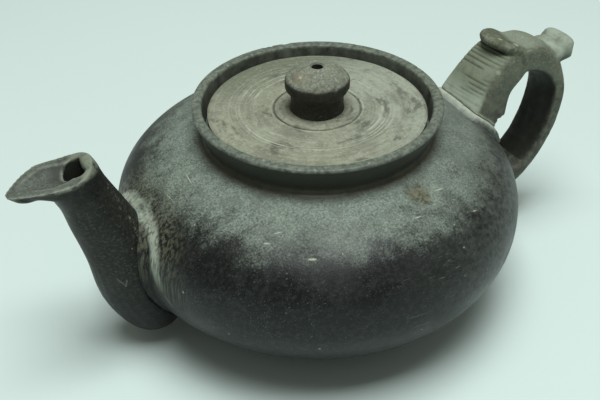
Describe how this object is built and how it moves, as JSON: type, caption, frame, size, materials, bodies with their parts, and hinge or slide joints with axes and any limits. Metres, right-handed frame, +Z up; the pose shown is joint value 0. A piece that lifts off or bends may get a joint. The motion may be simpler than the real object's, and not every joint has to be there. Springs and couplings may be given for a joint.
{
  "type": "stone kettle",
  "caption": "Squat stone kettle with a turned round pot, a beaked spout, a carved ear handle with thumb rest, and a loose drop-in lid with a vented knob.",
  "frame": {"origin": "middle of the flat base, on the table", "axes": "+Z up along the pot's turning axis, +X towards the handle, so the spout lies along -X"},
  "size_m": [0.2235, 0.15, 0.094],
  "materials": {
    "dark_stone": "satin, worn",
    "grey_stone": "chiselled, worn",
    "pale_stone": "matt, turned",
    "knob_stone": "matt, mottled",
    "filler": "rough, pale"
  },
  "bodies": {
    "pot": {"pot_floor": "dark_stone", "pot_bowl": "dark_stone", "pot_belly": "dark_stone", "pot_shoulder": "dark_stone", "pot_collar": "dark_stone", "spout": "dark_stone", "spout_bond": "filler", "handle": "grey_stone", "handle_upper_bond": "filler", "handle_lower_bond": "filler"},
    "lid": {"lid_disc": "pale_stone", "lid_knob": "knob_stone"}
  },
  "joints": [
    {"name": "lid_lift", "type": "slide", "parent": "pot", "child": "lid", "axis": [0, 0, 1], "range_m": [0, 0.06]}
  ]
}
